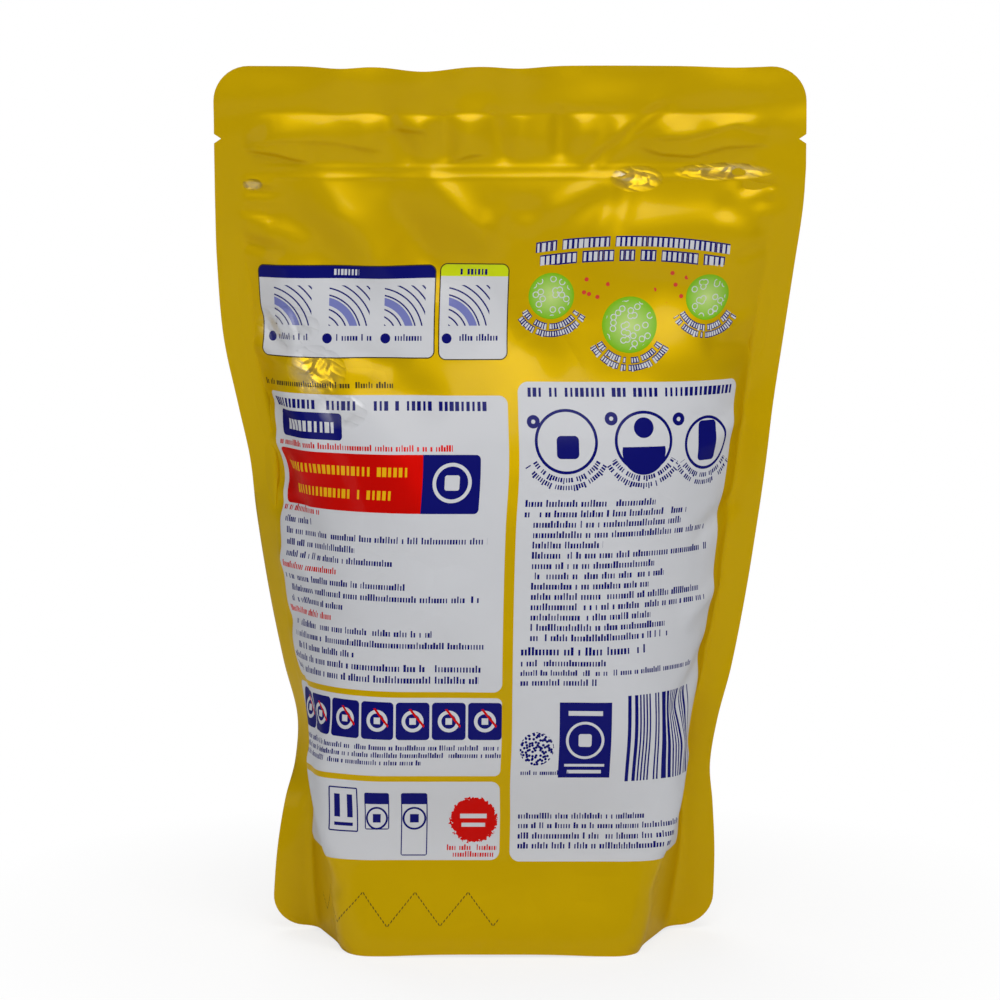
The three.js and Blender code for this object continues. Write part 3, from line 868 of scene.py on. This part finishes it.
# three green discs
GREEN_DISCS = ((16, 222.5, 7.8), (43, 213, 9.4), (70, 222, 7.8))
bubbles = flat.add("ShaderNodeTexVoronoi", {"voronoi_dimensions": "2D"}, {"Vector": place, "Scale": 0.34})
for x, y, radius in GREEN_DISCS:
    disc = away(x, y)
    paint(disc < radius, GREEN)
    paint((disc < radius) * (1 - disc / radius) * 0.9, PALE_GREEN)
    paint((disc < radius - 1.2) * within(bubbles, 0.27, 0.37), WHITE)
spots = flat.add("ShaderNodeTexVoronoi", {"voronoi_dimensions": "2D"}, {"Vector": place, "Scale": 0.22})
near_discs = (away(30, 225) < 6).max(away(57, 226) < 6)
paint(near_discs * (spots < 0.16), PINK)

# Two curved rows of blocks run under each ring and each disc. A ramp's colours hold the place and the
# radius of the one that is nearest, as shares of the half width, the height and 10 mm.
ALONG, HIGH = 100, 300
CURVE_PITCH, CURVE_GAP, CURVE_TURN = 2.5, 1.2, 1.05


def round_stops(rounds):
    """The stops of a stepped ramp along the film: the place and the radius of each ring or disc."""
    middles = [x for x, _, _ in rounds]
    starts = [0, (middles[0] + middles[1]) / 2 / ALONG, (middles[1] + middles[2]) / 2 / ALONG]
    return [(at, (x / ALONG, y / HIGH, radius / LARGEST, 1)) for at, (x, y, radius) in zip(starts, rounds)]


green_side = up > 197
ring_here = stepped_ramp(round_stops(RINGS), along / ALONG)
disc_here = stepped_ramp(round_stops(GREEN_DISCS), along / ALONG)
round_here = flat.add("ShaderNodeSeparateColor", {}, {0: ring_here.painted(green_side, disc_here)})
from_x, from_y = along - round_here * ALONG, up - round_here.beside(1) * HIGH
rim = round_here.beside(2) * LARGEST + CURVE_GAP
turn = from_x.maths("ARCTAN2", from_y * -1)
curve = (from_x * from_x + from_y * from_y).maths("SQRT") - rim
curve_row = (curve / CURVE_PITCH).floor()
reach = rim + curve_row * CURVE_PITCH + CURVE_PITCH / 2
curved = blocks(turn * reach + 40, curve - (curve_row + 0.5) * CURVE_PITCH, 1.5, curve_row + round_here, 0)
on_curve = within(turn, -CURVE_TURN, CURVE_TURN) * within(curve_row, -0.5, 1.5) * (along > 4)
curve_ink = flat.add("ShaderNodeMix", {"data_type": "RGBA"}, {0: green_side, 6: BLUE, 7: WHITE}, 2)
paint(on_curve * green_side * (curved < 0.2), BLUE)
paint(on_curve * (curved < 0), curve_ink)

# the straight rows
paint(in_row * (row_block < 0.16) * (up > over_discs + 1) * on_right, BLUE)
paint(in_row * (row_block < 0), ink)

# the dotted zigzag of the foot
DOT_PITCH, DOT_RADIUS = 0.9, 0.33
zigzag = up - 10 - along.maths("PINGPONG", 9.0) * 1.3
dot_along = (along / DOT_PITCH).maths("FRACT") * DOT_PITCH - DOT_PITCH / 2
dot_place = flat.add("ShaderNodeCombineXYZ", {}, {0: dot_along, 1: zigzag, 2: 0.0})
paint(within(along, -76, 2) * (dot_place.vector("LENGTH", output="Value") < DOT_RADIUS), DARK)

# The film's finish
# The bright laminate shows through the yellow ink and not through the others. The film is uneven in soft
# waves, with a net of faint creases in patches, and in a few small places it is crushed to glossy facets
# that glint. The heights are in millimetres.
WAVE_HEIGHT, NET_HEIGHT, FACET_HEIGHT = 0.9, 0.5, 1.9
FACET_PITCH, FACET_SLANT, FACET_BEND = 3.4, 0.5, 4


def finish_print(crushed_places):
    """Joins the print to the film's surface. Each crushed place is along, up, half its width and height."""
    tree.links.new(colour.output, skin.inputs["Base Color"])
    skin.inputs["Specular IOR Level"].default_value = 0.02
    skin.inputs["Coat Roughness"].default_value = 0.1
    skin.inputs["Coat IOR"].default_value = 2.2
    opaque = flat.add("ShaderNodeSeparateColor", {}, {0: colour}).beside(2)
    tree.links.new(((opaque < 0.003) * 0.5).output, skin.inputs["Metallic"])
    crushed = flat.add("ShaderNodeMath", {"operation": "ADD"}, {0: 0.0, 1: 0.0})
    for x, y, wide, tall in crushed_places:
        from_patch = place.vector("SUBTRACT", (x, y, 0)).vector("DIVIDE", (wide, tall, 1))
        crushed = crushed.max(1 - from_patch.vector("LENGTH", output="Value"))
    pressed = (crushed * 2).min(1)
    tree.links.new((pressed * 0.9 + 0.04).output, skin.inputs["Coat Weight"])
    tree.links.new((crushed * -0.4 + 0.52).max(0.28).output, skin.inputs["Roughness"])
    object_place = flat.add("ShaderNodeTexCoord", {}, {}, "Object")
    waves = flat.add("ShaderNodeTexNoise", {}, {"Vector": object_place, "Scale": 48.0, "Detail": 1.5})
    patches = flat.add("ShaderNodeTexNoise", {}, {"Vector": object_place, "Scale": 16.0, "Detail": 0.0})
    cracks = {"feature": "DISTANCE_TO_EDGE"}
    net = flat.add("ShaderNodeTexVoronoi", cracks, {"Vector": object_place, "Scale": 60.0})
    near_line = net.maths("SMOOTH_MIN", 0.12, 0.08)
    soft_step = {"interpolation_type": "SMOOTHSTEP"}
    in_patch = flat.add("ShaderNodeMapRange", soft_step, {0: patches, 1: 0.48, 2: 0.62})
    bends = {0: place, "Scale": 0.16, "Detail": 1.0, "Distortion": 0.5}
    small = flat.add("ShaderNodeTexNoise", {"noise_dimensions": "2D"}, bends)
    facets = ((up + along * FACET_SLANT + small * FACET_BEND) / FACET_PITCH).maths("FRACT")
    height = waves * WAVE_HEIGHT + near_line * in_patch * NET_HEIGHT - facets * pressed * FACET_HEIGHT
    relief = {"Strength": 1.0, "Distance": 0.001, "Height": height}
    uneven = flat.add("ShaderNodeBump", {}, relief, "Normal")
    tree.links.new(uneven.output, skin.inputs["Normal"])


finish_print([
    (-76, 212, 13, 7),
    (-65, 197, 11, 9),
    (-56, 184, 9, 6),
    (43, 262, 9, 4.5),
    (72, 264.5, 17, 3),
    (-87, 260, 3.5, 2),
])

# The front print
# The bag's other side carries a large oval, and three two-coloured capsules among bubbles over a band at
# the foot, in the same inks on the same film.


def oval(x, y, wide, tall):
    from_middle = place.vector("SUBTRACT", (x, y, 0)).vector("DIVIDE", (wide, tall, 1))
    return from_middle.vector("LENGTH", output="Value")


start_print("film_front")
main_oval = oval(0, 186, 68, 33)
paint(main_oval < 1.0, WHITE)
paint(main_oval < 0.95, BLUE)
wave = up + (along / 15).maths("SINE") * 5
paint((main_oval < 0.95) * within(wave, 176, 188), PALE_BLUE)
paint((main_oval < 0.95) * within(wave, 191, 194), WHITE)
bubbles = flat.add("ShaderNodeTexVoronoi", {"voronoi_dimensions": "2D"}, {"Vector": place, "Scale": 0.075})
bubble_height = flat.add("ShaderNodeSeparateXYZ", {}, {0: bubbles.beside("Position")}, 1)
paint(within(bubble_height, 45, 145) * within(bubbles, 0.22, 0.26), WHITE)
CAPSULE_RADIUS = 22.4
for x, y in ((-42, 100), (0, 86), (42, 100)):
    capsule = away(x, y)
    paint(capsule < CAPSULE_RADIUS + 1.6, WHITE)
    paint(capsule < CAPSULE_RADIUS, GREEN)
    paint((capsule < CAPSULE_RADIUS) * (along + (up / 8).maths("SINE") * 4 < x), BLUE)
    paint(ring(x, y, 17.5, 1.2), PALE_GREEN)
    paint(away(x + 9, y + 10) < 3.2, WHITE)
paint(within(up, 16, 33) * within(along, -60, 60), BLUE)
paint(within(along, -52, 52) * (blocks(along, up - 24.5, 6.5, 2.0, 1) < 0), WHITE)
paint(away(66, 236) < 11, LIME)
paint(ring(66, 236, 8.4, 1.4), BLUE)
finish_print([(60, 262, 14, 2)])

# The back panel's faces take the back print, and the front panel's and the gusset's the front print.
face_corners = np.zeros(len(mesh.loops), int)
mesh.loops.foreach_get("vertex_index", face_corners)
face_starts = np.zeros(len(mesh.polygons), int)
mesh.polygons.foreach_get("loop_start", face_starts)
on_back = np.maximum.reduceat(flat_place[face_corners, 2], face_starts) < -0.99
mesh.polygons.foreach_set("material_index", np.where(on_back, 0, 1))
mesh.update()
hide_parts("pouch")
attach(pouch, "root")

# The table
# A pale matt table, which fades to white away from the bag, so that only the bag's own shadow is seen.
bpy.ops.mesh.primitive_plane_add(size=8, location=(0, 0, 0))
floor = bpy.context.object
floor.name = "table"
pale = bpy.data.materials.new("table_white")
pale.use_nodes = True
table = pale.node_tree
matt = table.nodes["Principled BSDF"]
matt.inputs["Base Color"].default_value = (0.9, 0.9, 0.9, 1)
matt.inputs["Roughness"].default_value = 0.9
rays = Socket(table, None).add("ShaderNodeLightPath", {}, {}, "Is Camera Ray")
from_bag = rays.add("ShaderNodeTexCoord", {}, {}, "Object").vector("LENGTH", output="Value")
seen_white = rays.add("ShaderNodeMapRange", {}, {0: from_bag, 1: 0.07, 2: 0.22, 3: 0.75, 4: 1.0}) * rays
glow = rays.add("ShaderNodeEmission", {}, {"Color": (1, 1, 1, 1), "Strength": 1.0})
blend = rays.add("ShaderNodeMixShader", {}, {0: seen_white, 2: glow})
table.links.new(matt.outputs[0], blend.output.node.inputs[1])
table.links.new(blend.output, table.nodes["Material Output"].inputs["Surface"])
floor.data.materials.append(pale)

# The light and the camera
# Three softboxes stand above the camera, behind the bag and to its left, in a dim white room. The long lens
# is 1.4 m away.
world = bpy.data.worlds.new("studio")
bpy.context.scene.world = world
world.use_nodes = True
sky = world.node_tree
background = sky.nodes["Background"]
background.inputs["Color"].default_value = (1, 1, 1, 1)
seen = Socket(sky, None).add("ShaderNodeLightPath", {}, {}, "Is Camera Ray")
WORLD_LIGHT = 0.22
sky.links.new((seen * (1 - WORLD_LIGHT) + WORLD_LIGHT).output, background.inputs["Strength"])


def softbox(name, stand, size, power):
    """A lamp that points at the bag's middle from its stand, in watts."""
    light = bpy.data.lights.new(name, "AREA")
    light.shape = "RECTANGLE"
    light.size, light.size_y = size
    light.energy = power
    lamp = bpy.data.objects.new(name, light)
    bpy.context.collection.objects.link(lamp)
    lamp.location = stand
    towards_bag = Vector((0, 0, POUCH_HEIGHT / 2)) - Vector(stand)
    lamp.rotation_euler = towards_bag.to_track_quat("-Z", "Y").to_euler()


softbox("key_softbox", (0.25, -0.85, 1.25), (1.0, 1.0), 14)
softbox("rear_softbox", (-0.3, 1.1, 1.05), (1.0, 1.0), 9)
softbox("left_softbox", (-1.1, -0.8, 0.5), (0.4, 0.8), 1.2)

camera = bpy.data.cameras.new("camera")
camera_object = bpy.data.objects.new("camera", camera)
bpy.context.collection.objects.link(camera_object)
bpy.context.scene.camera = camera_object
DISTANCE, ELEVATION, LOOK_HEIGHT = 1.4, math.radians(8), 0.15
LENS_IN_PICTURE_WIDTHS = 4.068
camera.sensor_width = 36
camera.lens = LENS_IN_PICTURE_WIDTHS * 36
camera.shift_x = -0.010
camera.shift_y = 0.003
camera_object.location = (0, -DISTANCE * math.cos(ELEVATION), LOOK_HEIGHT + DISTANCE * math.sin(ELEVATION))
camera_object.rotation_euler = (math.pi / 2 - ELEVATION, 0, 0)
bpy.context.scene.view_settings.view_transform = "Standard"
